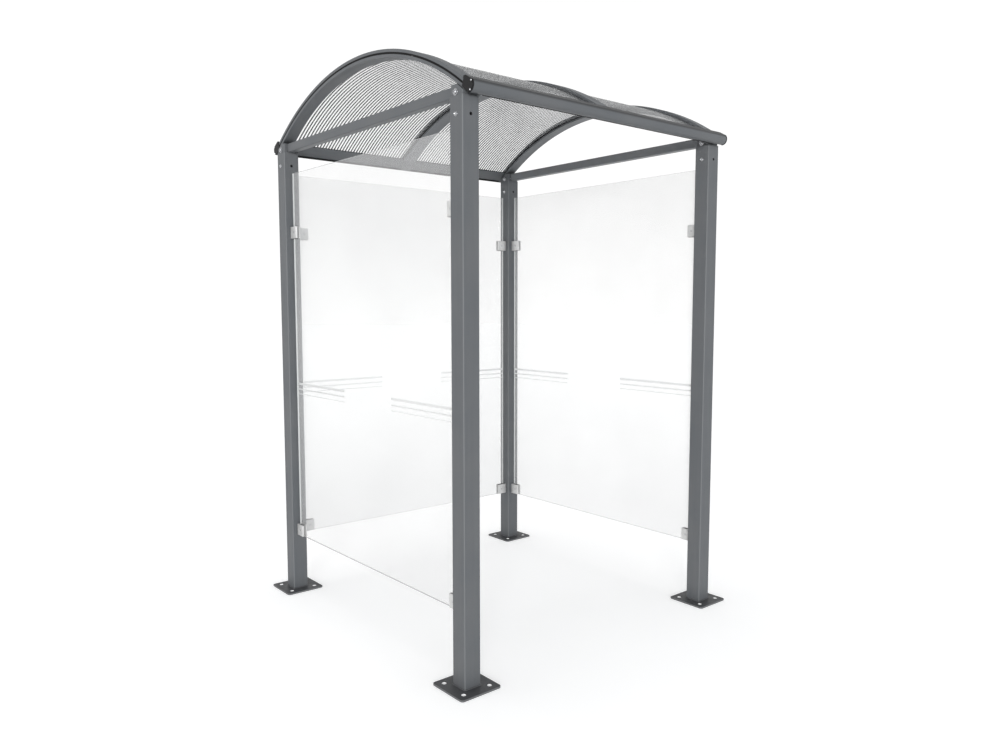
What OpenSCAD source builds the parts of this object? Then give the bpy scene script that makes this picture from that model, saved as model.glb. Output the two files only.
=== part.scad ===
/* [Frame] */
// Distance between post centres along the open front
span_x = 1510; // [1000:10:2400]
// Distance between post centres from front to back
span_y = 1510; // [1000:10:2000]
// Height of the post tops above the ground
post_top = 2308; // [1900:1:2800]
// Outside width of the square posts
post_w = 80; // [60:1:120]
// Wall of the post tube
post_wall = 3; // [2:0.5:6]
// Outside corner radius of the post tube
post_r = 5; // [3.5:0.5:8]

/* [Base plates] */
// Side of the square base plate
plate_w = 200; // [160:5:300]
// Thickness of the base plate
plate_t = 8; // [5:1:15]
// Corner radius of the base plate
plate_r = 13; // [4:1:25]
// Distance between anchor holes, both ways
anchor_pitch = 130; // [110:1:200]
// Diameter of the anchor holes
anchor_d = 18; // [10:1:24]

/* [Roof frame] */
// Height of the tie beams and of the heads above the post tops
tie_h = 43; // [30:1:50]
// Width of the tie beams
tie_w = 40; // [30:1:60]
// Wall of the tie beam tube
tie_wall = 2.5; // [1.5:0.5:4]
// Wall of the head sleeves
sleeve_wall = 3; // [2:0.5:5]
// Gap between a head sleeve and the inside of its post
sleeve_gap = 0.5; // [0.2:0.1:2]
// How far a head sleeve reaches down into its post
sleeve_l = 110; // [90:5:200]
// Height of the lower screws below the post top
head_drop = 68; // [50:1:80]
// Height of the upper screws above the post top
head_rise = 17; // [12:1:25]
// Diameter of the screw holes in posts and sleeves
screw_d = 11; // [6:0.5:14]

/* [Gutters] */
// Depth of the gutter from the post face to its nose
gutter_d = 53; // [50:1:90]
// Radius of the gutter's nose
nose_r = 26; // [18:1:26]
// Height of the gutter's rim above the post tops
rim_h = 65; // [62:1:90]
// Distance of the gutter's rim from the post face
rim_y = 11; // [5:1:15]
// Sheet thickness of the gutter
gutter_t = 2.5; // [1.5:0.5:4]
// Height of the gutter's web above the underside of the arches
web_rise = 5; // [0:1:6]
// How far the gutter's web reaches in over the posts beside the end arches
web_in = 3; // [0:1:8]
// How far the gutter's web reaches in under the sheets between the end arches
web_reach = 38; // [20:1:50]
// Outside diameter of the screw ports in the gutter's nose
port_d = 9; // [7:0.5:12]
// Bore of the screw ports
port_bore = 4; // [3:0.5:5]
// Thickness of the gutter end caps
cap_t = 3; // [2:0.5:8]
// Clearance between an end cap and the ends of gutter and vault
cap_play = 0.2; // [0.1:0.1:1]
// How far an end cap reaches inwards over the vault's foot
cap_lobe = 11; // [5:1:25]
// Height of the end cap's inner corner below the gutter's rim
cap_drop = 4; // [2:1:10]

/* [Vault] */
// Radius of the vault at the top of its glazing caps
vault_r = 1370; // [1000:1:2200]
// Height of the vault's outer surface above the post tops, over the outer post faces
vault_rise = 55.5; // [53:0.5:58]
// Width of the end arches
end_arch_w = 60; // [40:1:80]
// Distance of the end arches' outer faces past the post centres
arch_out = 30; // [5:1:32]
// Width of the middle arch
mid_arch_w = 73; // [50:1:120]
// Depth of the arch profile under the sheets
arch_h = 12.5; // [9:0.5:40]
// Wall of the arches and of their covers
arch_wall = 2; // [1.5:0.5:4]
// Thickness of the twin-wall roof sheets
sheet_t = 8; // [6:1:16]
// Thickness of a roof sheet's two skins
skin_t = 0.8; // [0.4:0.1:1.5]
// Thickness of a roof sheet's ribs
rib_t = 0.8; // [0.4:0.1:1.5]
// Spacing of a roof sheet's ribs
rib_pitch = 17; // [10:0.5:32]
// Depth of the glazing caps over the sheets
cover_h = 12.5; // [6:0.5:25]
// How far the sheets stop short of the end arches' outer faces
cover_lip = 4; // [2:1:10]
// Gap between sheets over the middle arch
sheet_gap = 8; // [4:1:20]
// Clearance between a sheet and the profiles that hold it
sheet_play = 0.3; // [0.1:0.1:1]
// Clearance of the arches where they meet heads and gutters
arch_seat = 0.2; // [0.1:0.1:1]
// How far the vault reaches into the gutters past their rims
vault_lap = 6; // [2:1:8]

/* [Glazing] */
// Thickness of the glass
glass_t = 8; // [6:1:12]
// Height of the glass above the ground
glass_z = 300; // [100:10:500]
// Distance of the glass's top edge below the post tops
glass_drop = 108; // [60:1:400]
// Gap between the glass edge and the post
glass_gap = 15; // [8:1:25]
// Height of a glass clamp
clamp_h = 59; // [30:1:80]
// Length of a glass clamp along the glass
clamp_l = 45; // [25:1:70]
// Thickness of one clamp cheek
cheek_t = 9; // [6:1:14]
// Radius of a clamp's outer edges
clamp_r = 3; // [1:0.5:5]
// Distance of the upper clamps' centres below the glass's top edge
clamp_top = 301; // [40:1:600]
// Height of the lower clamps' centres above the glass edge
clamp_low = 30; // [15:1:300]

/* [Hidden] */
$fn = 64;
arc_fn = 360;

LEFT = -1;
RIGHT = 1;
FRONT = -1;
BACK = 1;

frame_grey = [0.40, 0.42, 0.44];
plate_grey = [0.30, 0.31, 0.33];

// post centres and faces
post_x = span_x / 2;
post_y = span_y / 2;
half_post = post_w / 2;
post_z0 = plate_t;

// vault rings, from the outside in
vault_z = post_top + vault_rise - sqrt(pow(vault_r, 2) - pow(post_y + half_post, 2));
crown_z = vault_z + vault_r;
cover_ri = vault_r - cover_h;
sheet_ro = cover_ri - sheet_play;
sheet_ri = sheet_ro - sheet_t;
arch_ro = sheet_ri - sheet_play;
arch_ri = arch_ro - arch_h;

// sections of a gutter start at the post face and at the post top
gutter_y = post_y + half_post;
gutter_z = post_top;
gutter_x = post_x + arch_out;
foot_y = gutter_y + rim_y + vault_lap;

// centre of the gutter's nose, and the direction from it to where the slope up to the rim begins
nose = [gutter_d - nose_r, nose_r];
rim = [rim_y, rim_h];
rim_turn = atan2(rim_h - nose_r, rim_y - nose[0]) - acos(nose_r / norm(rim - nose));
to_slope = [cos(rim_turn), sin(rim_turn)];
port_turns = [-52, 40];

// sleeve inside the post
sleeve_w = post_w - 2 * post_wall - 2 * sleeve_gap;

// glass and clamp heights
glass_h = post_top - glass_drop - glass_z;
clamp_zs = [glass_z + clamp_low, glass_z + glass_h - clamp_top];

// square with true arc corners
module round_square(w, d, r) {
  square([w - 2 * r, d], center = true);
  square([w, d - 2 * r], center = true);
  for (x = [-1, 1], y = [-1, 1])
    translate([x * (w / 2 - r), y * (d / 2 - r)]) circle(r);
}

// square tube standing on the XY plane
module tube(w, d, wall, r, h) {
  linear_extrude(h) difference() {
    round_square(w, d, r);
    round_square(w - 2 * wall, d - 2 * wall, r - wall);
  }
}

module post(sx, sy) {
  color(frame_grey) translate([sx * post_x, sy * post_y, 0]) difference() {
    translate([0, 0, post_z0]) tube(post_w, post_w, post_wall, post_r, post_top - post_z0);
    // screw holes through the left and front walls
    translate([-half_post, 0, post_top - head_drop]) rotate([0, 90, 0])
      cylinder(h = 3 * post_wall, d = screw_d, center = true);
    translate([0, -half_post, post_top - head_drop]) rotate([90, 0, 0])
      cylinder(h = 3 * post_wall, d = screw_d, center = true);
  }
}

module base_plate(sx, sy) {
  color(plate_grey) translate([sx * post_x, sy * post_y, 0]) difference() {
    linear_extrude(plate_t) round_square(plate_w, plate_w, plate_r);
    for (x = [-1, 1], y = [-1, 1])
      translate([x * anchor_pitch / 2, y * anchor_pitch / 2, -1]) cylinder(h = plate_t + 2, d = anchor_d);
  }
}

// section of a head in Y and Z, shrunk by a wall, closing under the foot of the vault
module head_section(shrink) {
  intersection() {
    translate([post_y - post_w, post_top - 2 * sleeve_l])
      square([2 * post_w, 2 * sleeve_l + tie_h - shrink]);
    translate([0, vault_z]) circle(arch_ri - arch_seat - shrink, $fn = arc_fn);
  }
}

// tube that stands in the post from a given height up to its coped top
module head_body(shrink, bottom) {
  width = sleeve_w - 2 * shrink;
  radius = post_r - post_wall - sleeve_gap + sleeve_wall - shrink;
  intersection() {
    translate([0, post_y, bottom]) linear_extrude(crown_z - bottom) round_square(width, width, radius);
    along_x(post_w) head_section(shrink);
  }
}

module head_bracket(sx, sy) {
  color(frame_grey) difference() {
    scale_side(sy) translate([sx * post_x, 0, 0]) difference() {
      head_body(0, post_top - sleeve_l);
      head_body(sleeve_wall, post_top - sleeve_l - 1);
    }
    // screw holes in line with those of the post, and one higher up
    for (z = [post_top - head_drop, post_top + head_rise])
      translate([sx * post_x - sleeve_w / 2, sy * post_y, z]) rotate([0, 90, 0])
        cylinder(h = 3 * sleeve_wall, d = screw_d, center = true);
    translate([sx * post_x, sy * post_y - sleeve_w / 2, post_top - head_drop]) rotate([90, 0, 0])
      cylinder(h = 3 * sleeve_wall, d = screw_d, center = true);
  }
}

module tie_beam(sx) {
  length = span_y - sleeve_w;
  color(frame_grey) translate([sx * post_x, length / 2, post_top + tie_h / 2]) rotate([90, 0, 0])
    tube(tie_w, tie_h, tie_wall, 2 * tie_wall, length);
}

// everything under the gutter's web, drawn in the gutter's own section, raised by a distance
module under_web(distance) {
  translate([-gutter_y, vault_z - gutter_z]) circle(arch_ri + web_rise + distance, $fn = arc_fn);
}

// outside of a gutter in section, shrunk by its wall: round nose, flat floor, a web that follows
// the vault and a slope up to the rim
module gutter_outline(shrink) {
  r = nose_r - shrink;
  difference() {
    union() {
      translate(nose) circle(r);
      polygon([nose + r * to_slope, rim - shrink * to_slope, [-web_reach, rim_h],
               [-web_reach, shrink], [nose[0], shrink]]);
    }
    under_web(shrink);
  }
}

module gutter_profile() {
  difference() {
    gutter_outline(0);
    difference() {
      gutter_outline(gutter_t);
      for (turn = port_turns)
        translate(nose + (nose_r - port_d / 2) * [cos(turn), sin(turn)]) circle(d = port_d);
    }
    for (turn = port_turns)
      translate(nose + (nose_r - port_d / 2) * [cos(turn), sin(turn)]) circle(d = port_bore);
    // mouth where the vault comes in, between the web and the rim
    difference() {
      translate([-2 * web_reach, 0]) square([2 * web_reach + rim_y, 2 * rim_h]);
      under_web(gutter_t);
    }
  }
}

// turns a section in Y and Z into a bar along X
module along_x(length) {
  rotate([90, 0, 90]) translate([0, 0, -length / 2]) linear_extrude(length) children();
}

module gutter(sy) {
  notch = end_arch_w + arch_seat;
  color(frame_grey) scale_side(sy) translate([0, gutter_y, gutter_z]) difference() {
    along_x(2 * gutter_x) gutter_profile();
    // room for the feet of the end arches
    for (sx = [LEFT, RIGHT])
      translate([sx * (gutter_x - notch / 2 + 1) - notch / 2 - 1, -2 * web_reach - web_in, -1])
        cube([notch + 2, 2 * web_reach, rim_h + 2]);
  }
}

// cap over the end of a gutter, with a lobe that hides the foot of the vault
module gutter_cap(sx, sy) {
  color([0.13, 0.13, 0.14]) scale_side(sy)
    translate([sx * (gutter_x + cap_play + cap_t / 2), gutter_y, gutter_z]) along_x(cap_t) {
      intersection() {
        gutter_outline(0);
        translate([-web_in, 0]) square([web_in + gutter_d, rim_h]);
      }
      difference() {
        polygon([rim, [0, rim_h - cap_drop], [-cap_lobe, rim_h / 2], [-cap_lobe, 0], nose]);
        under_web(0);
      }
    }
}

// front copy of something drawn at the back
module scale_side(sy) {
  if (sy == BACK) children();
  else mirror([0, 1, 0]) children();
}

// ring sector of the vault in section, ending above the gutters
module vault_band(r_out, r_in, half_y) {
  translate([0, vault_z]) intersection() {
    difference() {
      circle(r_out, $fn = arc_fn);
      circle(r_in, $fn = arc_fn);
    }
    translate([-half_y, 0]) square([2 * half_y, r_out + 1]);
  }
}

function arch_x(side) = side * (post_x + arch_out - end_arch_w / 2);
function arch_w(side) = side == 0 ? mid_arch_w : end_arch_w;

// hollow bar of an arch's width, bent to the vault
module vault_bar(side, r_out, r_in, half_y) {
  color(frame_grey) translate([arch_x(side), 0, 0]) difference() {
    along_x(arch_w(side)) vault_band(r_out, r_in, half_y);
    along_x(arch_w(side) - 2 * arch_wall) vault_band(r_out - arch_wall, r_in + arch_wall, half_y + 1);
  }
}

// the arches end at the gutters' webs, their covers run on into the gutters
module arch(side) {
  vault_bar(side, arch_ro, arch_ri, gutter_y - (side == 0 ? web_reach : web_in) - arch_seat);
}

module arch_cover(side) {
  vault_bar(side, vault_r, cover_ri, foot_y);
}

// two skins with ribs that follow the vault, open at both feet
module roof_sheet(side) {
  outer = arch_x(1) + end_arch_w / 2 - cover_lip;
  width = outer - sheet_gap / 2;
  cells = round(width / rib_pitch);
  pitch = (width - rib_t) / cells;
  color([0.85, 0.87, 0.88, 0.6]) translate([side * (outer + sheet_gap / 2) / 2, 0, 0]) difference() {
    along_x(width) vault_band(sheet_ro, sheet_ri, foot_y);
    for (i = [0:cells - 1])
      translate([(i + 0.5 - cells / 2) * pitch, 0, 0])
        along_x(pitch - rib_t) vault_band(sheet_ro - skin_t, sheet_ri + skin_t, foot_y + 1);
  }
}

// pane in the plane of the posts, standing along X
module pane(span) {
  width = span - post_w - 2 * glass_gap;
  color([0.8, 0.9, 0.9, 0.3]) translate([-width / 2, -glass_t / 2, glass_z])
    cube([width, glass_t, glass_h]);
}

module side_glass(sx) {
  translate([sx * post_x, 0, 0]) rotate([0, 0, 90]) pane(span_y);
}

module back_glass() {
  translate([0, post_y, 0]) pane(span_x);
}

// clamp on a post face, its glass running along +X away from the face
module clamp() {
  depth = glass_t + 2 * cheek_t;
  length = glass_gap + clamp_l;
  color([0.85, 0.85, 0.84]) translate([0, 0, -clamp_h / 2]) linear_extrude(clamp_h) difference() {
    union() {
      translate([length / 2, 0]) round_square(length, depth, clamp_r);
      translate([0, -depth / 2]) square([2 * clamp_r, depth]);
    }
    translate([glass_gap, -glass_t / 2]) square([length, glass_t]);
  }
}

// clamp of a side pane, on the inner face of a front or back post
module side_clamp(sx, sy, z) {
  translate([sx * post_x, sy * (post_y - half_post), z]) rotate([0, 0, -90 * sy]) clamp();
}

// clamp of the back pane
module back_clamp(sx, z) {
  translate([sx * (post_x - half_post), post_y, z]) rotate([0, 0, sx == RIGHT ? 180 : 0]) clamp();
}

post(LEFT, FRONT);  // post_front_left
post(RIGHT, FRONT);  // post_front_right
post(LEFT, BACK);  // post_back_left
post(RIGHT, BACK);  // post_back_right
base_plate(LEFT, FRONT);  // base_plate_front_left
base_plate(RIGHT, FRONT);  // base_plate_front_right
base_plate(LEFT, BACK);  // base_plate_back_left
base_plate(RIGHT, BACK);  // base_plate_back_right
head_bracket(LEFT, FRONT);  // head_bracket_front_left
head_bracket(RIGHT, FRONT);  // head_bracket_front_right
head_bracket(LEFT, BACK);  // head_bracket_back_left
head_bracket(RIGHT, BACK);  // head_bracket_back_right
tie_beam(LEFT);  // tie_beam_left
tie_beam(RIGHT);  // tie_beam_right
gutter(FRONT);  // gutter_front
gutter(BACK);  // gutter_back
gutter_cap(LEFT, FRONT);  // gutter_cap_front_left
gutter_cap(RIGHT, FRONT);  // gutter_cap_front_right
gutter_cap(LEFT, BACK);  // gutter_cap_back_left
gutter_cap(RIGHT, BACK);  // gutter_cap_back_right
arch(LEFT);  // arch_left
arch(0);  // arch_middle
arch(RIGHT);  // arch_right
arch_cover(LEFT);  // arch_cover_left
arch_cover(0);  // arch_cover_middle
arch_cover(RIGHT);  // arch_cover_right
roof_sheet(LEFT);  // roof_sheet_left
roof_sheet(RIGHT);  // roof_sheet_right
side_glass(LEFT);  // glass_left
back_glass();  // glass_back
side_glass(RIGHT);  // glass_right
side_clamp(LEFT, FRONT, clamp_zs[1]);  // clamp_left_front_upper
side_clamp(LEFT, FRONT, clamp_zs[0]);  // clamp_left_front_lower
side_clamp(LEFT, BACK, clamp_zs[1]);  // clamp_left_back_upper
side_clamp(LEFT, BACK, clamp_zs[0]);  // clamp_left_back_lower
side_clamp(RIGHT, FRONT, clamp_zs[1]);  // clamp_right_front_upper
side_clamp(RIGHT, FRONT, clamp_zs[0]);  // clamp_right_front_lower
side_clamp(RIGHT, BACK, clamp_zs[1]);  // clamp_right_back_upper
side_clamp(RIGHT, BACK, clamp_zs[0]);  // clamp_right_back_lower
back_clamp(LEFT, clamp_zs[1]);  // clamp_back_left_upper
back_clamp(LEFT, clamp_zs[0]);  // clamp_back_left_lower
back_clamp(RIGHT, clamp_zs[1]);  // clamp_back_right_upper
back_clamp(RIGHT, clamp_zs[0]);  // clamp_back_right_lower
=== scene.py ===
import math
import random
import bmesh
import bpy
from mathutils import Matrix, Vector


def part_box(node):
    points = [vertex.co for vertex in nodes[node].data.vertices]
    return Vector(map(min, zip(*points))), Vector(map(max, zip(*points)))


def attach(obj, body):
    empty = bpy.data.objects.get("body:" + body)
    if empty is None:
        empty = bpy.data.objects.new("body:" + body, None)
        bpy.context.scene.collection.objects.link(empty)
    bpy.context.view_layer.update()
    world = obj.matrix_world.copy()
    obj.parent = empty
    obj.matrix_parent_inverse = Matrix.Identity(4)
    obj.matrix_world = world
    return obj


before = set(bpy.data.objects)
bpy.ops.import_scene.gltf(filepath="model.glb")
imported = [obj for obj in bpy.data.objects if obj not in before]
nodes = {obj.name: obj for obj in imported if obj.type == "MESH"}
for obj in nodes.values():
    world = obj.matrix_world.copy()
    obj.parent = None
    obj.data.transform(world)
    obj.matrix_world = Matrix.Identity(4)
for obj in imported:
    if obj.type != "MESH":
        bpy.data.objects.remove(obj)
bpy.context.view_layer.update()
scene = bpy.context.scene
print("frame loaded,", len(nodes), "nodes")

# lengths are in metres, colours are linear red, green, blue and alpha

corners = ("front_left", "front_right", "back_left", "back_right")
touching = 0.00001  # points closer than this count as one

# helpers for meshes


def makePiece(bm, name, material, smoothBelow=35):
    bmesh.ops.remove_doubles(bm, verts=bm.verts, dist=touching)
    bmesh.ops.recalc_face_normals(bm, faces=bm.faces)
    mesh = bpy.data.meshes.new(name)
    bm.to_mesh(mesh)
    bm.free()
    mesh.materials.append(material)
    if smoothBelow:
        mesh.shade_smooth()
        mesh.set_sharp_from_angle(angle=math.radians(smoothBelow))
    piece = bpy.data.objects.new(name, mesh)
    scene.collection.objects.link(piece)
    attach(piece, "root")


def mergeInto(bm, part, matrix=None):
    mesh = bpy.data.meshes.new("scratch")
    part.to_mesh(mesh)
    part.free()
    if matrix is not None:
        mesh.transform(matrix)
    bm.from_mesh(mesh)
    bpy.data.meshes.remove(mesh)


def startBlock(size, middle):
    block = bmesh.new()
    bmesh.ops.create_cube(block, size=1)
    bmesh.ops.scale(block, vec=size, verts=block.verts)
    bmesh.ops.translate(block, vec=middle, verts=block.verts)
    return block


# flat strip in the XY plane, round the origin
def startStrip(long, wide, cuts=1):
    strip = bmesh.new()
    bmesh.ops.create_grid(strip, x_segments=cuts, y_segments=1, size=0.5)
    bmesh.ops.scale(strip, vec=(long, wide, 1), verts=strip.verts)
    return strip


def startDisc(radius, height, lift, segments):
    disc = bmesh.new()
    bmesh.ops.create_cone(disc, cap_ends=True, segments=segments, radius1=radius, radius2=radius,
                          depth=height, matrix=Matrix.Translation((0, 0, lift + height / 2)))
    return disc


def roundEdges(bm, edges, offset, segments):
    bmesh.ops.bevel(bm, geom=edges, offset=offset, affect="EDGES", segments=segments, profile=0.5,
                    material=-1)


def rotate(bm, degrees, axis, centre=(0, 0, 0)):
    turn = Matrix.Rotation(math.radians(degrees), 3, axis)
    bmesh.ops.rotate(bm, cent=centre, matrix=turn, verts=bm.verts)


# swings a copy of the strip round a line along X, and the strip itself closes the near end
def swing(bm, centre, degrees, steps):
    copied = bmesh.ops.duplicate(bm, geom=list(bm.faces))["geom"]
    section = [item for item in copied if isinstance(item, bmesh.types.BMFace)]
    bmesh.ops.spin(bm, geom=section, cent=centre, axis=(1, 0, 0), angle=math.radians(degrees), steps=steps)


def risesBy(edge):
    return abs(edge.verts[0].co.z - edge.verts[1].co.z)


# helpers for materials


def setSocket(tree, socket, value):
    if isinstance(value, bpy.types.NodeSocket):
        tree.links.new(value, socket)
    elif value is not None:
        socket.default_value = value


def startMaterial(name):
    material = bpy.data.materials.new(name)
    material.use_nodes = True
    tree = material.node_tree
    shader = tree.nodes["Principled BSDF"]
    place = tree.nodes.new("ShaderNodeTexCoord").outputs["Object"]
    return material, tree, shader, place


def addNoise(tree, place, scale, detail, stretch=(1, 1, 1)):
    mapping = tree.nodes.new("ShaderNodeMapping")
    mapping.inputs["Scale"].default_value = stretch
    tree.links.new(place, mapping.inputs["Vector"])
    noise = tree.nodes.new("ShaderNodeTexNoise")
    noise.inputs["Scale"].default_value = scale
    noise.inputs["Detail"].default_value = detail
    tree.links.new(mapping.outputs["Vector"], noise.inputs["Vector"])
    return noise.outputs["Fac"]


def mapRange(tree, value, low, high, toLow=0, toHigh=1):
    ranger = tree.nodes.new("ShaderNodeMapRange")
    ranger.inputs["From Min"].default_value = low
    ranger.inputs["From Max"].default_value = high
    ranger.inputs["To Min"].default_value = toLow
    ranger.inputs["To Max"].default_value = toHigh
    tree.links.new(value, ranger.inputs["Value"])
    return ranger.outputs["Result"]


# the Mix node keeps its sockets for numbers at 2 and 3, and those for colours at 6 and 7
def mixColour(tree, factor, first, second):
    mixer = tree.nodes.new("ShaderNodeMix")
    mixer.data_type = "RGBA"
    for number, value in ((0, factor), (6, first), (7, second)):
        setSocket(tree, mixer.inputs[number], value)
    return mixer.outputs[2]


def mixValue(tree, factor, first, second):
    mixer = tree.nodes.new("ShaderNodeMix")
    for number, value in ((0, factor), (2, first), (3, second)):
        setSocket(tree, mixer.inputs[number], value)
    return mixer.outputs[0]


def maths(tree, way, first, second=None):
    node = tree.nodes.new("ShaderNodeMath")
    node.operation = way
    setSocket(tree, node.inputs[0], first)
    setSocket(tree, node.inputs[1], second)
    return node.outputs[0]


# straight distance from the ways along two axes
def distance(tree, first, second):
    return maths(tree, "SQRT", maths(tree, "ADD", maths(tree, "MULTIPLY", first, first),
                                     maths(tree, "MULTIPLY", second, second)))


def splitAxes(tree, vector):
    parts = tree.nodes.new("ShaderNodeSeparateXYZ")
    tree.links.new(vector, parts.inputs[0])
    return parts.outputs


# which way the flat face looks, by axis
def facingAxes(tree):
    geometry = tree.nodes.new("ShaderNodeNewGeometry")
    return splitAxes(tree, geometry.outputs["True Normal"])


# soft edge normals, and how squarely a point lies in its face, both from the bevel node
def edgeNormals(tree, radius):
    bevel = tree.nodes.new("ShaderNodeBevel")
    bevel.samples = 4
    bevel.inputs["Radius"].default_value = radius
    geometry = tree.nodes.new("ShaderNodeNewGeometry")
    dot = tree.nodes.new("ShaderNodeVectorMath")
    dot.operation = "DOT_PRODUCT"
    tree.links.new(bevel.outputs["Normal"], dot.inputs[0])
    tree.links.new(geometry.outputs["Normal"], dot.inputs[1])
    return bevel.outputs["Normal"], dot.outputs["Value"]


def addBump(tree, shader, height, strength, depth, normal=None):
    bump = tree.nodes.new("ShaderNodeBump")
    bump.inputs["Strength"].default_value = strength
    bump.inputs["Distance"].default_value = depth
    tree.links.new(height, bump.inputs["Height"])
    setSocket(tree, bump.inputs["Normal"], normal)
    tree.links.new(bump.outputs["Normal"], shader.inputs["Normal"])


# view and studio

cameraSetup = {
    "lens": 29.2223,
    "sensor": 36.0,
    "farthest": 300,
    "place": (-2.6627026, -3.2532995, 1.5301202),
    "turn": (84.8382, 0.0193, -39.8111),
}

studioSetup = {
    "horizon": 1.05,
    "zenith": 0.1,
    "dimFrom": 0.3,
    "open": (1, 1, 1, 1),
    "coolSide": (0.955, 1.0, 1.045, 1),
    "coolFrom": (-0.1, -0.9),
    "bounces": 96,
    # strength, width of the source in degrees, and the direction it comes from
    "suns": {"frontLight": (2.2, 14.0, (-0.675, -0.733, 0.10)), "topLight": (0.9, 30.0, (-0.02, 0.05, 1.0))},
}


def setCamera():
    data = bpy.data.cameras.new("viewpoint")
    data.lens = cameraSetup["lens"]
    data.sensor_width = cameraSetup["sensor"]
    data.clip_end = cameraSetup["farthest"]
    camera = bpy.data.objects.new("viewpoint", data)
    camera.location = cameraSetup["place"]
    camera.rotation_euler = [math.radians(angle) for angle in cameraSetup["turn"]]
    scene.collection.objects.link(camera)
    scene.camera = camera


def addSun(name, strength, width, source):
    data = bpy.data.lights.new(name, "SUN")
    data.energy = strength
    data.angle = math.radians(width)
    light = bpy.data.objects.new(name, data)
    light.rotation_euler = Vector(source).to_track_quat("Z", "Y").to_euler()
    scene.collection.objects.link(light)


# pale all round, dimmer overhead, so that faces turned upwards stay a little darker
def setStudio():
    setup = studioSetup
    scene.view_settings.view_transform = "Standard"
    scene.cycles.transparent_max_bounces = setup["bounces"]
    world = bpy.data.worlds.new("paleStudio")
    world.use_nodes = True
    tree = world.node_tree
    back = tree.nodes["Background"]
    direction = splitAxes(tree, tree.nodes.new("ShaderNodeTexCoord").outputs["Generated"])
    strength = mapRange(tree, direction["Z"], setup["dimFrom"], 1.0, setup["horizon"], setup["zenith"])
    tree.links.new(strength, back.inputs["Strength"])
    # a touch cooler on the shelter's open side
    cool = mapRange(tree, direction["Y"], *setup["coolFrom"])
    tree.links.new(mixColour(tree, cool, setup["open"], setup["coolSide"]), back.inputs["Color"])
    scene.world = world
    for name, (strength, width, source) in setup["suns"].items():
        addSun(name, strength, width, source)


setCamera()
setStudio()
print("camera and lights set")

# materials
# a spread is where a noise or a slope starts and stops to count, and what comes out at each end, which is
# 0 and 1 where it is left out; roughness and cover are spreads too

coatSetup = {
    "colour": (0.110, 0.114, 0.119, 1),
    "coolColour": (0.099, 0.105, 0.112, 1),
    "cloud": {"scale": 5.0, "detail": 4.0},
    "cloudSpread": (0.35, 0.65),
    # painted light for the inner parts under the roof: its colour, where it comes in, and its least share
    "paintedLightColour": (0.5, 0.52, 0.54, 1),
    "paintedLightFrom": (0.2, 0.8),
    "paintedLightLeast": 0.9,
    "streakColour": (0.16, 0.165, 0.17, 1),
    "streak": {"scale": 60.0, "detail": 2.0},
    "streakSpread": (0.3, 0.7, 0, 0.12),
    "streakLength": 20,
    "speckColour": (0.05, 0.053, 0.057, 1),
    "speck": {"scale": 1400.0, "detail": 1.0},
    "speckSpread": (0.3, 0.7, 0, 0.14),
    # painted shade on the faces that turn upwards, on the gutters
    "upShade": (0.034, 0.034, 0.035, 1),
    "upShadeSpread": (0.25, 0.6, 0, 0.85),
    "edgeRadius": 0.0014,
    "edgeColour": (0.17, 0.178, 0.186, 1),
    "edgeSpread": (0.985, 0.8, 0, 0.75),
    "edgeWear": {"scale": 90.0, "detail": 3.0},
    "edgeWearSpread": (0.35, 0.6, 0.4, 1.0),
    "paintedLight": 0.125,
    # how far from a post's centre line the painted shade inside the tube reaches
    "hollow": {"post": 0.0385, "head": 0.0345},
    # near black for painted shade, inside the tubes and in the crevices
    "inside": (0.012, 0.012, 0.012, 1),
    # painted highlight along the posts' rounded corners
    "cornerHighlight": (0.137, 0.143, 0.148, 1),
    "cornerHighlightFrom": (0.0355, 0.0375),
    "openHole": {"wall": 0.036, "drop": 0.068, "radius": 0.0066},
    # painted shade in the crevices: how far it looks, where it comes in, and how much on each kind of part
    "creviceShadeReach": 0.03,
    "creviceShadeFrom": (0.75, 0.2),
    "creviceShade": {"tube": 0.3, "rail": 0.6},
    "specular": 0.14,
    "rub": {"scale": 24.0, "detail": 5.0},
    "roughness": (0.3, 0.7, 0.36, 0.5),
    "grain": {"scale": 620.0, "detail": 2.0},
    "grainStrength": 0.35,
    "grainDepth": 0.00009,
}


# how far a point is from a post's centre line, along X and along Y; the posts stand symmetrically
def fromPostCentre(tree, spot):
    low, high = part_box("post_back_right")
    centre = (low + high) / 2
    ways = []
    for axis, middle in (("X", centre.x), ("Y", centre.y)):
        away = maths(tree, "SUBTRACT", maths(tree, "ABSOLUTE", spot[axis]), middle)
        ways.append(maths(tree, "ABSOLUTE", away))
    return ways


# the open screw hole in a post's front wall, with a ring round it; both are painted dark as shade
def aroundHole(tree, spot, ways):
    setup = coatSetup["openHole"]
    low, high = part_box("post_back_right")
    middle = maths(tree, "MULTIPLY", maths(tree, "SIGN", spot["Y"]), (low.y + high.y) / 2)
    inFront = maths(tree, "LESS_THAN", maths(tree, "SUBTRACT", spot["Y"], middle), -setup["wall"])
    rise = maths(tree, "SUBTRACT", spot["Z"], high.z - setup["drop"])
    near = maths(tree, "LESS_THAN", distance(tree, ways[0], rise), setup["radius"])
    return maths(tree, "MULTIPLY", inFront, near)


# the tube's bare inside and its open hole painted near black, as painted shade, and a painted highlight
# along the rounded corners
def tubeColour(tree, place, colour, hollow):
    setup = coatSetup
    spot = splitAxes(tree, place)
    ways = fromPostCentre(tree, spot)
    # painted highlight along the rounded corners
    corner = mapRange(tree, maths(tree, "MINIMUM", *ways), *setup["cornerHighlightFrom"])
    colour = mixColour(tree, corner, colour, setup["cornerHighlight"])
    within = maths(tree, "LESS_THAN", maths(tree, "MAXIMUM", *ways), hollow)
    within = maths(tree, "MAXIMUM", within, aroundHole(tree, spot, ways))
    return mixColour(tree, within, colour, setup["inside"])
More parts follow.
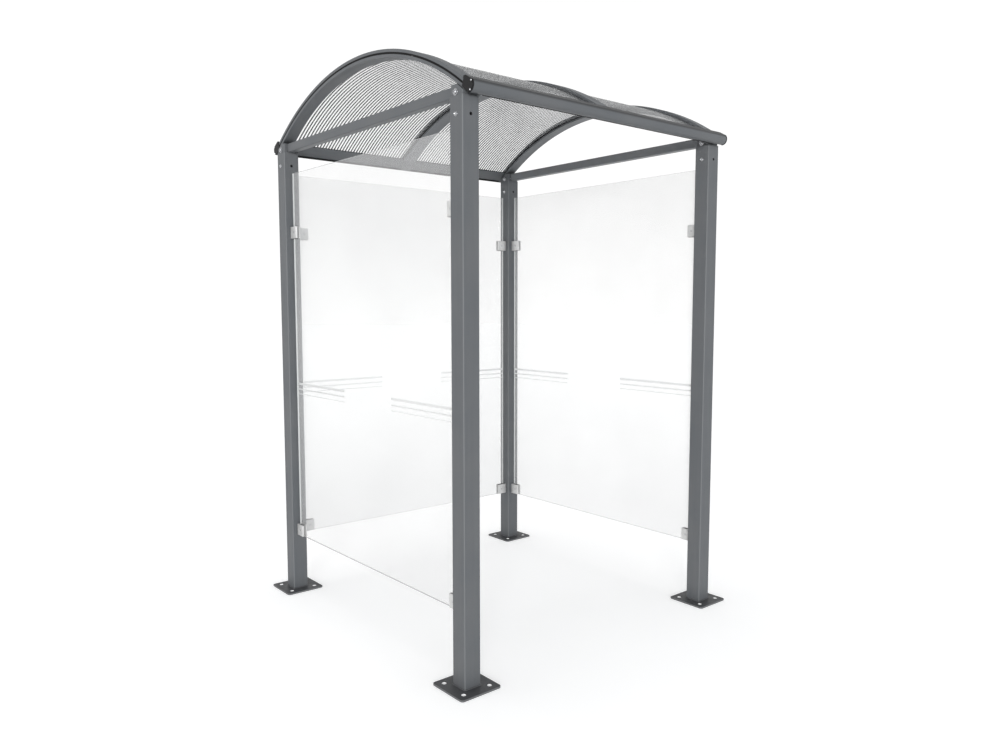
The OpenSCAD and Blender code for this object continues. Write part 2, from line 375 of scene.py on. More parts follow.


# grey paint, streaked along runAxis; a part under the roof can be lightened with painted light, and a hollow
# part gets painted shade inside
def powderCoat(name, runAxis, paintedLight=0.0, hollow=None):
    setup = coatSetup
    material, tree, shader, place = startMaterial(name)
    along = tuple(1 / setup["streakLength"] if axis == runAxis else 1.0 for axis in "xyz")
    cloudy = addNoise(tree, place, **setup["cloud"])
    streaks = addNoise(tree, place, stretch=along, **setup["streak"])
    specks = addNoise(tree, place, **setup["speck"])
    clouds = mapRange(tree, cloudy, *setup["cloudSpread"])
    colour = mixColour(tree, clouds, setup["colour"], setup["coolColour"])
    # painted light on the parts that should look more lit
    if paintedLight:
        pale = mapRange(tree, cloudy, *setup["paintedLightFrom"], paintedLight * setup["paintedLightLeast"], paintedLight)
        colour = mixColour(tree, pale, colour, setup["paintedLightColour"])
    colour = mixColour(tree, mapRange(tree, streaks, *setup["streakSpread"]), colour, setup["streakColour"])
    colour = mixColour(tree, mapRange(tree, specks, *setup["speckSpread"]), colour, setup["speckColour"])
    if runAxis == "x":
        # painted shade on the gutters, where they face up
        upShade = mapRange(tree, facingAxes(tree)["Z"], *setup["upShadeSpread"])
        colour = mixColour(tree, upShade, colour, setup["upShade"])
    softNormal, squarely = edgeNormals(tree, setup["edgeRadius"])
    wear = mapRange(tree, addNoise(tree, place, **setup["edgeWear"]), *setup["edgeWearSpread"])
    worn = maths(tree, "MULTIPLY", mapRange(tree, squarely, *setup["edgeSpread"]), wear)
    colour = mixColour(tree, worn, colour, setup["edgeColour"])
    if hollow:
        colour = tubeColour(tree, place, colour, hollow)
    # painted shade in the crevices between the parts
    creviceShade = tree.nodes.new("ShaderNodeAmbientOcclusion")
    creviceShade.samples = 4
    creviceShade.inputs["Distance"].default_value = setup["creviceShadeReach"]
    most = setup["creviceShade"]["tube" if hollow else "rail"]
    paintedShade = mapRange(tree, creviceShade.outputs["AO"], *setup["creviceShadeFrom"], 0, most)
    tree.links.new(mixColour(tree, paintedShade, colour, setup["inside"]), shader.inputs["Base Color"])
    shader.inputs["Specular IOR Level"].default_value = setup["specular"]
    rubbed = addNoise(tree, place, stretch=along, **setup["rub"])
    tree.links.new(mapRange(tree, rubbed, *setup["roughness"]), shader.inputs["Roughness"])
    peel = addNoise(tree, place, **setup["grain"])
    addBump(tree, shader, peel, setup["grainStrength"], setup["grainDepth"], softNormal)
    return material


plateSetup = {
    "colour": (0.056, 0.058, 0.062, 1),
    "dusty": (0.10, 0.10, 0.10, 1),
    "cloud": {"scale": 18.0, "detail": 6.0},
    "cloudSpread": (0.45, 0.75, 0, 0.5),
    "speckColour": (0.03, 0.03, 0.032, 1),
    "speck": {"scale": 900.0, "detail": 2.0},
    "speckSpread": (0.4, 0.7, 0, 0.2),
    # upright sides lighter than the top: painted light
    "side": (0.105, 0.107, 0.11, 1),
    "sideSpread": (0.7, 0.3),
    "edgeRadius": 0.0012,
    "edgeColour": (0.16, 0.165, 0.17, 1),
    "edgeSpread": (0.985, 0.8, 0, 0.6),
    # painted white in the anchor holes, for the bright floor seen through them
    "seenThroughWhite": (0.9, 0.9, 0.9, 1),
    # from the post's centre line, along X and along Y
    "holeWay": 0.065,
    "holeRadius": 0.0094,
    "specular": 0.3,
    "roughness": (0.3, 0.7, 0.4, 0.62),
    "grain": {"scale": 420.0, "detail": 3.0},
    "grainStrength": 0.4,
    "grainDepth": 0.00012,
}


def plateCoat(name):
    setup = plateSetup
    material, tree, shader, place = startMaterial(name)
    cloudy = addNoise(tree, place, **setup["cloud"])
    specks = addNoise(tree, place, **setup["speck"])
    clouds = mapRange(tree, cloudy, *setup["cloudSpread"])
    colour = mixColour(tree, clouds, setup["colour"], setup["dusty"])
    colour = mixColour(tree, mapRange(tree, specks, *setup["speckSpread"]), colour, setup["speckColour"])
    # painted light: the upright sides lighter than the top
    litSide = mapRange(tree, maths(tree, "ABSOLUTE", facingAxes(tree)["Z"]), *setup["sideSpread"])
    colour = mixColour(tree, litSide, colour, setup["side"])
    softNormal, squarely = edgeNormals(tree, setup["edgeRadius"])
    colour = mixColour(tree, mapRange(tree, squarely, *setup["edgeSpread"]), colour, setup["edgeColour"])
    # the anchor holes painted white, standing in for the bright floor seen through them
    ways = fromPostCentre(tree, splitAxes(tree, place))
    ways = [maths(tree, "SUBTRACT", way, setup["holeWay"]) for way in ways]
    inHole = maths(tree, "LESS_THAN", distance(tree, *ways), setup["holeRadius"])
    tree.links.new(mixColour(tree, inHole, colour, setup["seenThroughWhite"]), shader.inputs["Base Color"])
    shader.inputs["Specular IOR Level"].default_value = setup["specular"]
    tree.links.new(mapRange(tree, cloudy, *setup["roughness"]), shader.inputs["Roughness"])
    grain = addNoise(tree, place, **setup["grain"])
    addBump(tree, shader, grain, setup["grainStrength"], setup["grainDepth"], softNormal)
    return material


capSetup = {
    "colour": (0.005, 0.005, 0.0055, 1),
    "pale": (0.012, 0.012, 0.013, 1),
    "roughness": (0.3, 0.7, 0.34, 0.55),
    "grain": {"scale": 1100.0, "detail": 2.0},
}

# black of the rubber parts, also used for the painted shade strips under the gutters
rubberAndShadeSetup = {
    "colour": (0.003, 0.003, 0.003, 1),
    "pale": (0.008, 0.008, 0.008, 1),
    "roughness": (0.3, 0.7, 0.6, 0.8),
    "grain": {"scale": 500.0, "detail": 2.0},
}

# what the caps and the rubber share
mouldedSetup = {
    "cloud": {"scale": 40.0, "detail": 4.0},
    "cloudSpread": (0.4, 0.7),
    "edgeRadius": 0.0008,
    "edgeColour": (0.03, 0.03, 0.03, 1),
    "edgeSpread": (0.98, 0.75, 0, 0.5),
    "specular": 0.2,
    "grainStrength": 0.3,
    "grainDepth": 0.00008,
}


def mouldedBlack(name, kind):
    setup = mouldedSetup
    material, tree, shader, place = startMaterial(name)
    cloudy = addNoise(tree, place, **setup["cloud"])
    colour = mixColour(tree, mapRange(tree, cloudy, *setup["cloudSpread"]), kind["colour"], kind["pale"])
    softNormal, squarely = edgeNormals(tree, setup["edgeRadius"])
    colour = mixColour(tree, mapRange(tree, squarely, *setup["edgeSpread"]), colour, setup["edgeColour"])
    tree.links.new(colour, shader.inputs["Base Color"])
    tree.links.new(mapRange(tree, cloudy, *kind["roughness"]), shader.inputs["Roughness"])
    shader.inputs["Specular IOR Level"].default_value = setup["specular"]
    grain = addNoise(tree, place, **kind["grain"])
    addBump(tree, shader, grain, setup["grainStrength"], setup["grainDepth"], softNormal)
    return material


sheetSetup = {
    "skin": (0.9, 0.92, 0.93, 1),
    "skinDust": (0.76, 0.77, 0.77, 1),
    "skinCover": (0.35, 0.7, 0.02, 0.05),
    "dust": {"scale": 7.0, "detail": 6.0, "stretch": (1, 0.5, 1)},
    "dustSpread": (0.4, 0.7),
    "dustStrength": 0.2,
    "dustDepth": 0.0004,
    # painted shade of the ribs, as dark lines on the outer skin
    "ribShade": (0.03, 0.032, 0.036, 1),
    "ribShadePale": (0.07, 0.073, 0.078, 1),
    "ribShadeCover": 1.0,
    "fine": {"scale": 260.0, "detail": 2.0},
    "fineSpread": (0.3, 0.7),
    "roughness": (0.3, 0.7, 0.14, 0.26),
    "side": (0.2, 0.205, 0.21, 1),
    "sideSpread": (0.6, 0.9),
    "sideCover": 0.14,
    # from the vault's axis to the crown of the covers, and to just under the outer skin
    "vaultRadius": 1.370,
    "outerSkin": 1.3568,
    "sheetStart": 0.0044,
    "pitch": 0.016874,
    # from the middle of a line, in pitches: where it has faded out, and where it is full
    "lineEdge": (0.27, 0.23),
}


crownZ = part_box("arch_cover_middle")[1].z
vaultAxis = Vector((0, 0, crownZ - sheetSetup["vaultRadius"]))


# clear skins, and dark lines of painted shade on the outer skin where a rib stands under it
def twinWall(name):
    setup = sheetSetup
    material, tree, shader, place = startMaterial(name)
    spot = splitAxes(tree, place)
    isSide = mapRange(tree, maths(tree, "ABSOLUTE", facingAxes(tree)["X"]), *setup["sideSpread"])
    # distance from the vault's axis tells the outer face from the others
    radius = distance(tree, maths(tree, "SUBTRACT", spot["Z"], vaultAxis.z), spot["Y"])
    isOuter = maths(tree, "GREATER_THAN", radius, setup["outerSkin"])
    across = maths(tree, "SUBTRACT", maths(tree, "ABSOLUTE", spot["X"]), setup["sheetStart"])
    wave = maths(tree, "PINGPONG", maths(tree, "DIVIDE", across, setup["pitch"]), 0.5)
    isLine = maths(tree, "MULTIPLY", mapRange(tree, wave, *setup["lineEdge"]), isOuter)
    dust = addNoise(tree, place, **setup["dust"])
    fine = addNoise(tree, place, **setup["fine"])
    skin = mixColour(tree, mapRange(tree, dust, *setup["dustSpread"]), setup["skin"], setup["skinDust"])
    ribShades = mixColour(tree, mapRange(tree, fine, *setup["fineSpread"]), setup["ribShade"], setup["ribShadePale"])
    skin = mixColour(tree, isSide, skin, setup["side"])
    tree.links.new(mixColour(tree, isLine, skin, ribShades), shader.inputs["Base Color"])
    cover = mixValue(tree, isSide, mapRange(tree, dust, *setup["skinCover"]), setup["sideCover"])
    tree.links.new(mixValue(tree, isLine, cover, setup["ribShadeCover"]), shader.inputs["Alpha"])
    tree.links.new(mapRange(tree, fine, *setup["roughness"]), shader.inputs["Roughness"])
    addBump(tree, shader, dust, setup["dustStrength"], setup["dustDepth"])
    return material


glassSetup = {
    # painted reflection: a pale veil over the pane, greyer towards the top and bottom
    "reflectionVeil": (0.79, 0.79, 0.785, 1),
    "reflectionGrey": (0.61, 0.61, 0.61, 1),
    "cover": (0.3, 0.7, 0.19, 0.22),
    # painted highlight on the upright edges
    "edge": (0.86, 0.88, 0.87, 1),
    "edgeCover": 0.58,
    "edgeSpread": (0.9, 0.6),
    "flatEdge": (0.33, 0.335, 0.335, 1),
    "flatEdgeCover": 0.8,
    "flatSpread": (0.6, 0.9),
    "haze": {"scale": 2.2, "detail": 5.0},
    "hazeSpread": (0.3, 0.7, -0.12, 0.12),
    "wiped": {"scale": 14.0, "detail": 4.0, "stretch": (1, 1, 0.25)},
    "roughness": (0.3, 0.7, 0.05, 0.12),
    "wipedStrength": 0.05,
    "wipedDepth": 0.0002,
    # height of the clearest part, how far above and below it the grey is full, and where it comes in
    "clearHeight": 1.25,
    "clearReach": 0.85,
    "greySpread": (0.15, 1.0),
}


# clear pane under a pale veil of painted reflection, greyer towards the top and bottom; ground edges are
# denser, and the upright ones carry a painted highlight
def paneGlass(name, acrossAxis):
    setup = glassSetup
    material, tree, shader, place = startMaterial(name)
    facing = facingAxes(tree)
    isEdge = mapRange(tree, maths(tree, "ABSOLUTE", facing[acrossAxis]), *setup["edgeSpread"])
    haze = addNoise(tree, place, **setup["haze"])
    wiped = addNoise(tree, place, **setup["wiped"])
    away = maths(tree, "SUBTRACT", splitAxes(tree, place)["Z"], setup["clearHeight"])
    away = maths(tree, "DIVIDE", maths(tree, "ABSOLUTE", away), setup["clearReach"])
    away = maths(tree, "ADD", away, mapRange(tree, haze, *setup["hazeSpread"]))
    colour = mixColour(tree, mapRange(tree, away, *setup["greySpread"]), setup["reflectionVeil"], setup["reflectionGrey"])
    # top and bottom edges look greyer than the upright ones
    isFlat = mapRange(tree, maths(tree, "ABSOLUTE", facing["Z"]), *setup["flatSpread"])
    # the upright edges carry a painted highlight
    edge = mixColour(tree, isFlat, setup["edge"], setup["flatEdge"])
    edgeCover = mixValue(tree, isFlat, setup["edgeCover"], setup["flatEdgeCover"])
    tree.links.new(mixColour(tree, isEdge, colour, edge), shader.inputs["Base Color"])
    cover = mapRange(tree, haze, *setup["cover"])
    tree.links.new(mixValue(tree, isEdge, cover, edgeCover), shader.inputs["Alpha"])
    tree.links.new(mapRange(tree, wiped, *setup["roughness"]), shader.inputs["Roughness"])
    addBump(tree, shader, wiped, setup["wipedStrength"], setup["wipedDepth"])
    return material


metalSetup = {
    "cloud": {"scale": 30.0, "detail": 4.0},
    "cloudSpread": (0.35, 0.7, 0, 0.6),
    "dull": 0.8,
    "edgeRadius": 0.0007,
    "edgeColour": (0.92, 0.92, 0.91, 1),
    "edgeSpread": (0.98, 0.75, 0, 0.6),
    "brush": {"scale": 800.0, "detail": 3.0},
    "brushStrength": 0.2,
    "brushDepth": 0.00004,
}

clampMetal = {
    "colour": (0.55, 0.55, 0.545, 1),
    "roughness": (0.3, 0.7, 0.3, 0.42),
    "stretch": (1, 1, 0.04),
    "metallic": 0.35,
}

screwMetal = {
    "colour": (0.5, 0.505, 0.52, 1),
    "roughness": (0.3, 0.7, 0.18, 0.32),
    "stretch": (1, 1, 1),
    "metallic": 1.0,
}


def satinMetal(name, kind):
    setup = metalSetup
    material, tree, shader, place = startMaterial(name)
    shader.inputs["Metallic"].default_value = kind["metallic"]
    lines = addNoise(tree, place, stretch=kind["stretch"], **setup["brush"])
    cloudy = addNoise(tree, place, **setup["cloud"])
    dull = tuple(setup["dull"] * channel for channel in kind["colour"][:3]) + (1,)
    tint = mixColour(tree, mapRange(tree, cloudy, *setup["cloudSpread"]), kind["colour"], dull)
    softNormal, squarely = edgeNormals(tree, setup["edgeRadius"])
    tint = mixColour(tree, mapRange(tree, squarely, *setup["edgeSpread"]), tint, setup["edgeColour"])
    tree.links.new(tint, shader.inputs["Base Color"])
    tree.links.new(mapRange(tree, lines, *kind["roughness"]), shader.inputs["Roughness"])
    addBump(tree, shader, lines, setup["brushStrength"], setup["brushDepth"], softNormal)
    return material


filmSetup = {
    "colour": (0.7, 0.7, 0.7, 1),
    "grey": (0.64, 0.645, 0.645, 1),
    "cover": 0.85,
    "cloud": {"scale": 60.0, "detail": 4.0},
    "cloudSpread": (0.3, 0.7),
    "roughness": (0.3, 0.7, 0.45, 0.65),
    "grain": {"scale": 700.0, "detail": 2.0},
    "grainStrength": 0.2,
    "grainDepth": 0.00005,
}


def whiteFilm(name):
    setup = filmSetup
    material, tree, shader, place = startMaterial(name)
    cloudy = addNoise(tree, place, **setup["cloud"])
    colour = mixColour(tree, mapRange(tree, cloudy, *setup["cloudSpread"]), setup["colour"], setup["grey"])
    tree.links.new(colour, shader.inputs["Base Color"])
    tree.links.new(mapRange(tree, cloudy, *setup["roughness"]), shader.inputs["Roughness"])
    shader.inputs["Alpha"].default_value = setup["cover"]
    grain = addNoise(tree, place, **setup["grain"])
    addBump(tree, shader, grain, setup["grainStrength"], setup["grainDepth"])
    return material


beamCoat = powderCoat("beamCoat", "y")
# a copy of the coat lightened with painted light, for the inner parts under the roof
litInnerCoat = powderCoat("litInnerCoat", "y", paintedLight=coatSetup["paintedLight"])
footCoat = plateCoat("footCoat")
capBlack = mouldedBlack("capBlack", capSetup)
# black for the rubber parts and for the painted shade strips under the gutters
rubberAndShadeBlack = mouldedBlack("rubberAndShadeBlack", rubberAndShadeSetup)
zincBright = satinMetal("zincBright", screwMetal)
filmWhite = whiteFilm("filmWhite")

# the start of the nodes' names, and their finish; a later line goes over an earlier one
finishes = {
    "post_": powderCoat("postCoat", "z", hollow=coatSetup["hollow"]["post"]),
    "base_plate_": footCoat,
    "head_bracket_": powderCoat("headCoat", "z", hollow=coatSetup["hollow"]["head"]),
    "tie_beam_": beamCoat,
    "tie_beam_right": litInnerCoat,
    "gutter_": powderCoat("railCoat", "x"),
    "gutter_cap_": capBlack,
    "arch_": beamCoat,
    "arch_middle": litInnerCoat,
    "arch_right": litInnerCoat,
    "roof_sheet_": twinWall("roofClear"),
    "glass_": paneGlass("sideGlass", "X"),
    "glass_back": paneGlass("backGlass", "Y"),
    "clamp_": satinMetal("clampSatin", clampMetal),
}

for start, finish in finishes.items():
    for name, node in nodes.items():
        if name.startswith(start):
            for slot in node.material_slots:
                slot.material = finish
print("materials on the frame's nodes")

# screws in the heads and posts

boltSetup = {
    "upper": {"washer": (0.0135, 0.002), "head": (0.0095, 0.0075), "socket": (0.0036, 0.004)},
    "upperRise": 0.0135,
    # the heads' upper screws sit a little behind the post's middle
    "upperBack": {"front": 0.006, "back": 0.002},
    "lower": {"washer": (0.0092, 0.0014), "head": (0.0078, 0.0042), "socket": (0.003, 0.0024)},
    "lowerDrop": 0.068,
    "segments": 32,
}

# how round a screw is, as shares of its height, and the least rim round its socket
screwShape = {"washer": 0.25, "head": 0.62, "rim": 0.0002}


# button head along +Z from the origin, on a washer if it has one; each is a radius and a height
def addButtonScrew(bm, matrix, head, socket, washer=None, segments=20):
    lift = 0
    if washer:
        ring = startDisc(*washer, 0, segments)
        rims = [edge for edge in ring.edges if risesBy(edge) < touching]
        roundEdges(ring, rims, washer[1] * screwShape["washer"], segments=2)
        mergeInto(bm, ring, matrix)
        lift = washer[1]
    button = startDisc(*head, lift, segments)
    curve = head[1] * screwShape["head"]
    top = [edge for edge in button.edges if min(vert.co.z for vert in edge.verts) > lift + head[1] / 2]
    roundEdges(button, top, curve, segments=4)
    crown = max(button.faces, key=lambda face: face.calc_center_median().z)
    rim = max(screwShape["rim"], head[0] - curve - socket[0])
    bmesh.ops.inset_region(button, faces=[crown], thickness=rim)
    bmesh.ops.translate(button, verts=list(crown.verts), vec=(0, 0, -socket[1]))
    mergeInto(bm, button, matrix)


# turns +Z towards the named side, such as "-x", and moves the origin to the place
def outwards(place, side):
    degrees, axis = {"-x": (-90, "Y"), "+x": (90, "Y"), "-y": (90, "X"), "+y": (-90, "X")}[side]
    return Matrix.Translation(place) @ Matrix.Rotation(math.radians(degrees), 4, axis)


setup = boltSetup
for corner in corners:
    low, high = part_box("post_" + corner)
    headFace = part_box("head_bracket_" + corner)[0].x
    middle = (low.y + high.y) / 2
    behind = setup["upperBack"][corner.split("_")[0]]
    upper = outwards((headFace, middle + behind, high.z + setup["upperRise"]), "-x")
    lower = outwards((low.x, middle, high.z - setup["lowerDrop"]), "-x")
    bm = bmesh.new()
    addButtonScrew(bm, upper, segments=setup["segments"], **setup["upper"])
    addButtonScrew(bm, lower, segments=setup["segments"], **setup["lower"])
    makePiece(bm, "screws_" + corner, zincBright)
print("head screws made")

# small screws in the heads' inner faces, beside the tie beams
tieScrewSetup = {
    "screw": {"head": (0.0048, 0.0026), "socket": (0.0018, 0.0014)},
    "aside": 0.0250,
    "rise": 0.0125,
}
setup = tieScrewSetup
for corner in corners:
    low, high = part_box("post_" + corner)
    headLow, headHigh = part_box("head_bracket_" + corner)
    aside = setup["aside"] if corner.endswith("left") else -setup["aside"]
    face, side = (headLow.y, "-y") if corner.startswith("back") else (headHigh.y, "+y")
    place = ((low.x + high.x) / 2 + aside, face, high.z + setup["rise"])
    bm = bmesh.new()
    addButtonScrew(bm, outwards(place, side), **setup["screw"])
    makePiece(bm, "tie_screw_" + corner, zincBright)
print("tie screws made")

# the gutters' noses and their end caps

noseRadius = 0.026


# the sides that a gutter cap is on, as 1 or -1 along X and Y, and the centre of the nose at its middle
def noseAt(corner):
    low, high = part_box("gutter_cap_" + corner)
    sideX = 1 if low.x > 0 else -1
    sideY = 1 if low.y > 0 else -1
    outer = high.y if sideY > 0 else low.y
    return sideX, sideY, Vector(((low.x + high.x) / 2, outer - sideY * noseRadius, low.z + noseRadius))


capScrewSetup = {
    "screw": {"head": (0.0042, 0.0026), "socket": (0.0016, 0.0014)},
    # radius of the ring they stand on, and how many degrees up from outwards
    "ring": 0.0225,
    "turns": (-58, 36),
}
setup = capScrewSetup
for corner in corners:
    low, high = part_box("gutter_cap_" + corner)
    sideX, sideY, nose = noseAt(corner)
    face, side = (high.x, "+x") if sideX > 0 else (low.x, "-x")
    bm = bmesh.new()
    for turn in setup["turns"]:
        angle = math.radians(turn)
        y = nose.y + sideY * setup["ring"] * math.cos(angle)
        z = nose.z + setup["ring"] * math.sin(angle)
        addButtonScrew(bm, outwards((face, y, z), side), **setup["screw"])
    makePiece(bm, "cap_screws_" + corner, zincBright)
print("cap screws made")

# black strips under the gutters' webs, standing in for the shade under them; inner and outer are measured
# from the posts' outer faces
underShadeSetup = {
    "inner": 0.016,
    "outer": 0.0265,
    "low": -0.0003,
    "high": 0.0088,
    "drain": (-0.022, 0.044),
    "radius": 0.0012,
}


def addBar(bm, low, high, radius, segments=2):
    low, high = Vector(low), Vector(high)
    bar = startBlock(high - low, (high + low) / 2)
    roundEdges(bar, list(bar.edges), radius, segments)
    mergeInto(bm, bar)


setup = underShadeSetup
for side in ("front", "back"):
    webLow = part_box("gutter_" + side)[0].z
    sign = 1 if side == "back" else -1
    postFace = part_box("post_back_left")[1].y
    ends = (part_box("post_back_left")[1].x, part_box("post_back_right")[0].x)
    ys = sorted((sign * (postFace + setup["outer"]), sign * (postFace + setup["inner"])))
    # the back strip is cut for a drain
    runs = (ends,) if side == "front" else ((ends[0], setup["drain"][0]), (setup["drain"][1], ends[1]))
    bm = bmesh.new()
    for start, end in runs:
        barLow = (start, ys[0], webLow + setup["low"])
        barHigh = (end, ys[1], webLow + setup["high"])
        addBar(bm, barLow, barHigh, setup["radius"])
    makePiece(bm, "gutter_shade_strip_" + side, rubberAndShadeBlack)
print("gutter seals made")

# rubber on the vault


# strip from near to far along X, inner to outer from the vault's axis, and reach degrees each way round it
def addVaultStrip(bm, near, far, inner, outer, reach, steps):
    strip = startStrip(far - near, outer - inner)
    rotate(strip, 90, "X")
    middle = ((near + far) / 2, 0, vaultAxis.z + (outer + inner) / 2)
    bmesh.ops.translate(strip, vec=middle, verts=strip.verts)
    rotate(strip, reach, "X", vaultAxis)
    swing(strip, vaultAxis, -2 * reach, steps)
    mergeInto(bm, strip)


# a share of the angle that a half width spans at a radius from the vault's axis, in degrees
def vaultReach(halfWidth, radius, share):
    return math.degrees(math.asin(halfWidth / radius) * share)


# in the slots at the ends of the roof sheets
endSealSetup = {"inner": 1.3494, "outer": 1.357, "inset": 0.0012, "share": 0.97, "steps": 96}
setup = endSealSetup
for side in ("left", "right"):
    sheetLow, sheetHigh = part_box("roof_sheet_" + side)
    coverLow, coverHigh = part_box("arch_cover_" + side)
    if side == "left":
        near, far = coverLow.x + setup["inset"], sheetLow.x
    else:
        near, far = sheetHigh.x, coverHigh.x - setup["inset"]
    reach = vaultReach(sheetHigh.y, setup["outer"], setup["share"])
    bm = bmesh.new()
    addVaultStrip(bm, near, far, setup["inner"], setup["outer"], reach, setup["steps"])
    makePiece(bm, "sheet_end_seal_" + side, rubberAndShadeBlack)
print("end seals made")

# black lips under the sheets, along the inner edges of the arches
gasketSetup = {"width": 0.0024, "low": 1.3462, "high": 1.3489, "share": 0.985, "steps": 80}
setup = gasketSetup
for side in ("left", "middle", "right"):
    low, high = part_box("arch_" + side)
    reach = vaultReach(high.y, setup["high"], setup["share"])
    runs = []
    if side != "left":
        runs.append((low.x - setup["width"], low.x))
    if side != "right":
        runs.append((high.x, high.x + setup["width"]))
    bm = bmesh.new()
    for near, far in runs:
        addVaultStrip(bm, near, far, setup["low"], setup["high"], reach, setup["steps"])
    makePiece(bm, "sheet_gasket_" + side, rubberAndShadeBlack)
print("sheet gaskets made")

# collars of the gutter caps, lapping over the gutter's nose, between two turns in degrees up from outwards;
# sunk is the share of their wall inside the nose
collarSetup = {"length": 0.0055, "thick": 0.0012, "sunk": 0.05, "from": -95, "to": 52, "steps": 20}
setup = collarSetup
for corner in corners:
    sideX, sideY, nose = noseAt(corner)
    away = noseRadius + setup["thick"] * (0.5 - setup["sunk"])
    bm = startStrip(setup["length"], setup["thick"])
    middle = (nose.x - sideX * setup["length"] / 2, nose.y + sideY * away, nose.z)
    bmesh.ops.translate(bm, vec=middle, verts=bm.verts)
    rotate(bm, sideY * setup["from"], "X", nose)
    swing(bm, nose, sideY * (setup["to"] - setup["from"]), setup["steps"])
    makePiece(bm, "cap_collar_" + corner, capBlack)
print("cap collars made")

# weld beads round the post feet; the steps cut each side, so that the ripple shows
weldSetup = {
    "leg": 0.0032,
    "sunk": 0.0006,
    "corner": 0.0075,
    "round": 0.92,
    "steps": 22,
    "ripple": 0.00035,
    "lift": 0.5,
    "seed": 7,
}
setup = weldSetup
weldRandom = random.Random(setup["seed"])
for corner in corners:
    low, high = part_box("post_" + corner)
    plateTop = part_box("base_plate_" + corner)[1].z
    middle = (low + high) / 2
    width = high.x - low.x + 2 * setup["leg"]
    bm = startBlock((width, width, setup["leg"] + setup["sunk"]),
                    (middle.x, middle.y, plateTop + (setup["leg"] - setup["sunk"]) / 2))
    roundEdges(bm, [edge for edge in bm.edges if risesBy(edge) > touching], setup["corner"], segments=6)
    sides = [edge for edge in bm.edges if edge.calc_length() > width / 2]
    bmesh.ops.subdivide_edges(bm, edges=sides, cuts=setup["steps"], use_grid_fill=True)
    # the outline of the top, where a level face meets an upright one
    rim = []
    for edge in bm.edges:
        upright = sorted(abs(face.normal.z) for face in edge.link_faces)
        onTop = min(vert.co.z for vert in edge.verts) > plateTop + setup["leg"] / 2
        if onTop and len(upright) == 2 and upright[0] < 0.5 < upright[1]:
            rim.append(edge)
    roundEdges(bm, rim, setup["leg"] * setup["round"], segments=3)
    for vert in bm.verts:
        if vert.co.z > plateTop:
            push = weldRandom.uniform(-1, 1) * setup["ripple"]
            away = Vector((vert.co.x - middle.x, vert.co.y - middle.y, 0)).normalized()
            vert.co += away * push + Vector((0, 0, push * setup["lift"]))
    makePiece(bm, "weld_" + corner, footCoat, smoothBelow=60)
print("weld beads made")

# rubber liners and screws of the glass clamps; the liner shows its lip above and below the metal
clampSetup = {
    "glass": 0.008,
    "clear": 0.00005,
    "liner": 0.0024,
    "lip": 0.0013,
    "short": 0.0008,
    "radius": 0.0004,
    # between the post and the glass
    "gap": 0.015,
    "screw": {"head": (0.0052, 0.0012), "socket": (0.0022, 0.0009)},
    "screwSunk": 0.0004,
    "screwShare": 0.45,
}
setup = clampSetup
for name in [name for name in nodes if name.startswith("clamp_")]:
    low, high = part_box(name)
    middle = (low + high) / 2
    across, along = (1, 0) if name.split("_")[1] == "back" else (0, 1)
    inwards, foot, tip = (-1, high[along], low[along]) if middle[along] > 0 else (1, low[along], high[along])
    start = foot + inwards * setup["gap"]
    end = tip - inwards * setup["short"]
    liner = bmesh.new()
    screws = bmesh.new()
    for cheek in (-1, 1):
        near = middle[across] + cheek * (setup["glass"] / 2 + setup["clear"])
        far = near + cheek * setup["liner"]
        barLow, barHigh = Vector(low), Vector(high)
        barLow[across], barHigh[across] = sorted((near, far))
        barLow[along], barHigh[along] = sorted((start, end))
        barLow.z -= setup["lip"]
        barHigh.z += setup["lip"]
        addBar(liner, barLow, barHigh, setup["radius"], segments=1)
        place = Vector(middle)
        place[across] = (high if cheek > 0 else low)[across] - cheek * setup["screwSunk"]
        place[along] = start + inwards * setup["screwShare"] * (abs(tip - foot) - setup["gap"])
        addButtonScrew(screws, outwards(place, ("+" if cheek > 0 else "-") + "xy"[across]), **setup["screw"])
    makePiece(liner, name.replace("clamp", "liner"), rubberAndShadeBlack)
    makePiece(screws, name.replace("clamp", "clamp_screws"), zincBright)
print("clamp liners and screws made")

# stripes of white film on the inner side of each pane; a band is a height and a width

stripeSetup = {
    "bands": ((1.1135, 0.011), (1.0855, 0.007), (1.0605, 0.004)),
    "outerEdge": 0.694,
    "innerEdge": 0.208,
    "thickness": 0.0002,
    "tipRound": 0.2,
    "cuts": 12,
}


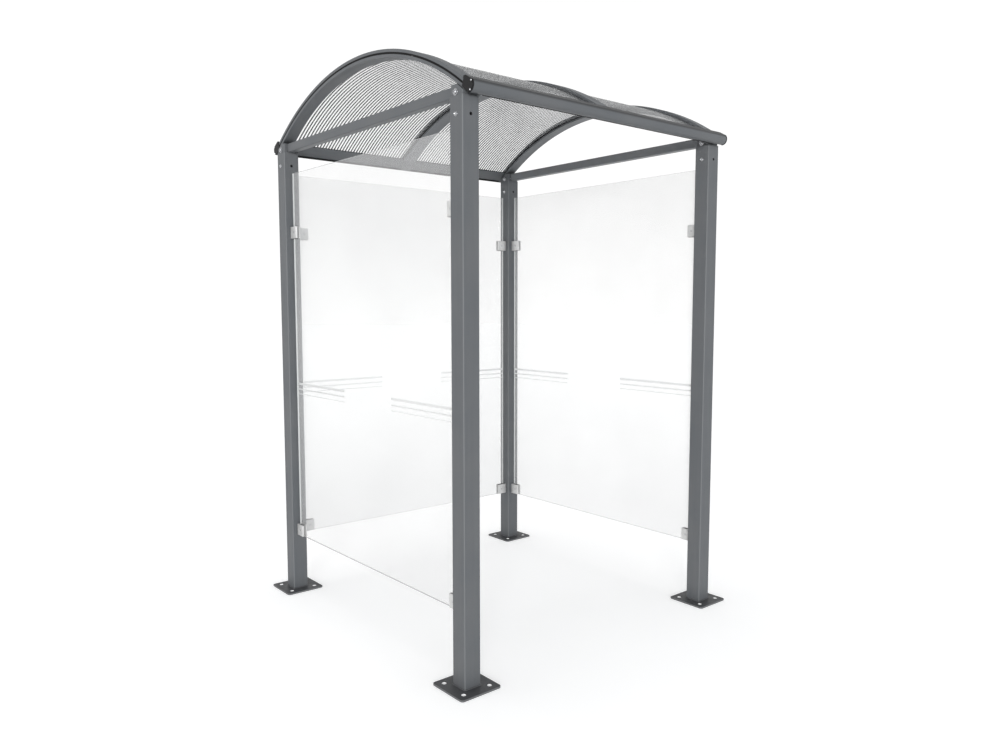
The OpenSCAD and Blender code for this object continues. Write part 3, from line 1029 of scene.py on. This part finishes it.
def addStripe(bm, along, start, end, height, width, plane):
    stripe = startStrip(end - start, width, stripeSetup["cuts"])
    bmesh.ops.translate(stripe, vec=((start + end) / 2, 0, 0), verts=stripe.verts)
    bmesh.ops.solidify(stripe, geom=list(stripe.faces), thickness=stripeSetup["thickness"])
    tips = [edge for edge in stripe.edges if risesBy(edge) > touching
            and min(abs(edge.verts[0].co.x - start), abs(edge.verts[0].co.x - end)) < touching]
    roundEdges(stripe, tips, width * stripeSetup["tipRound"], segments=3)
    rotate(stripe, 90, "X")
    if along == "y":
        rotate(stripe, 90, "Z")
    shift = {"y": (plane, 0, height), "x": (0, plane, height)}[along]
    bmesh.ops.translate(stripe, vec=shift, verts=stripe.verts)
    mergeInto(bm, stripe)


setup = stripeSetup
runs = ((-setup["outerEdge"], -setup["innerEdge"]), (setup["innerEdge"], setup["outerEdge"]))
for pane, along in (("left", "y"), ("right", "y"), ("back", "x")):
    low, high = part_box("glass_" + pane)
    inward = 1 if pane == "left" else -1
    plane = {"left": high.x, "right": low.x, "back": low.y}[pane] + inward * setup["thickness"]
    bm = bmesh.new()
    for height, width in setup["bands"]:
        for start, end in runs:
            addStripe(bm, along, start, end, height, width, plane)
    makePiece(bm, "stripes_" + pane, filmWhite, smoothBelow=None)
print("stripes made")

# floor

floorSetup = {
    "radius": 60.0,
    "segments": 96,
    "colour": (0.8, 0.8, 0.8, 1),
    "other": (0.79, 0.79, 0.79, 1),
    "cloud": {"scale": 1.5, "detail": 3.0},
    "cloudSpread": (0.3, 0.7),
    "roughness": 0.9,
    "specular": 0.1,
    "glowColour": (1, 1, 1, 1),
    "glow": 0.345,
}


def makeFloor():
    setup = floorSetup
    bm = bmesh.new()
    bmesh.ops.create_circle(bm, cap_ends=True, segments=setup["segments"], radius=setup["radius"])
    mesh = bpy.data.meshes.new("floor")
    bm.to_mesh(mesh)
    bm.free()
    floor = bpy.data.objects.new("floor", mesh)
    scene.collection.objects.link(floor)
    material, tree, shader, place = startMaterial("paleFloor")
    cloudy = addNoise(tree, place, **setup["cloud"])
    colour = mixColour(tree, mapRange(tree, cloudy, *setup["cloudSpread"]), setup["colour"], setup["other"])
    tree.links.new(colour, shader.inputs["Base Color"])
    shader.inputs["Roughness"].default_value = setup["roughness"]
    shader.inputs["Specular IOR Level"].default_value = setup["specular"]
    shader.inputs["Emission Color"].default_value = setup["glowColour"]
    shader.inputs["Emission Strength"].default_value = setup["glow"]
    mesh.materials.append(material)


makeFloor()
print("floor laid")
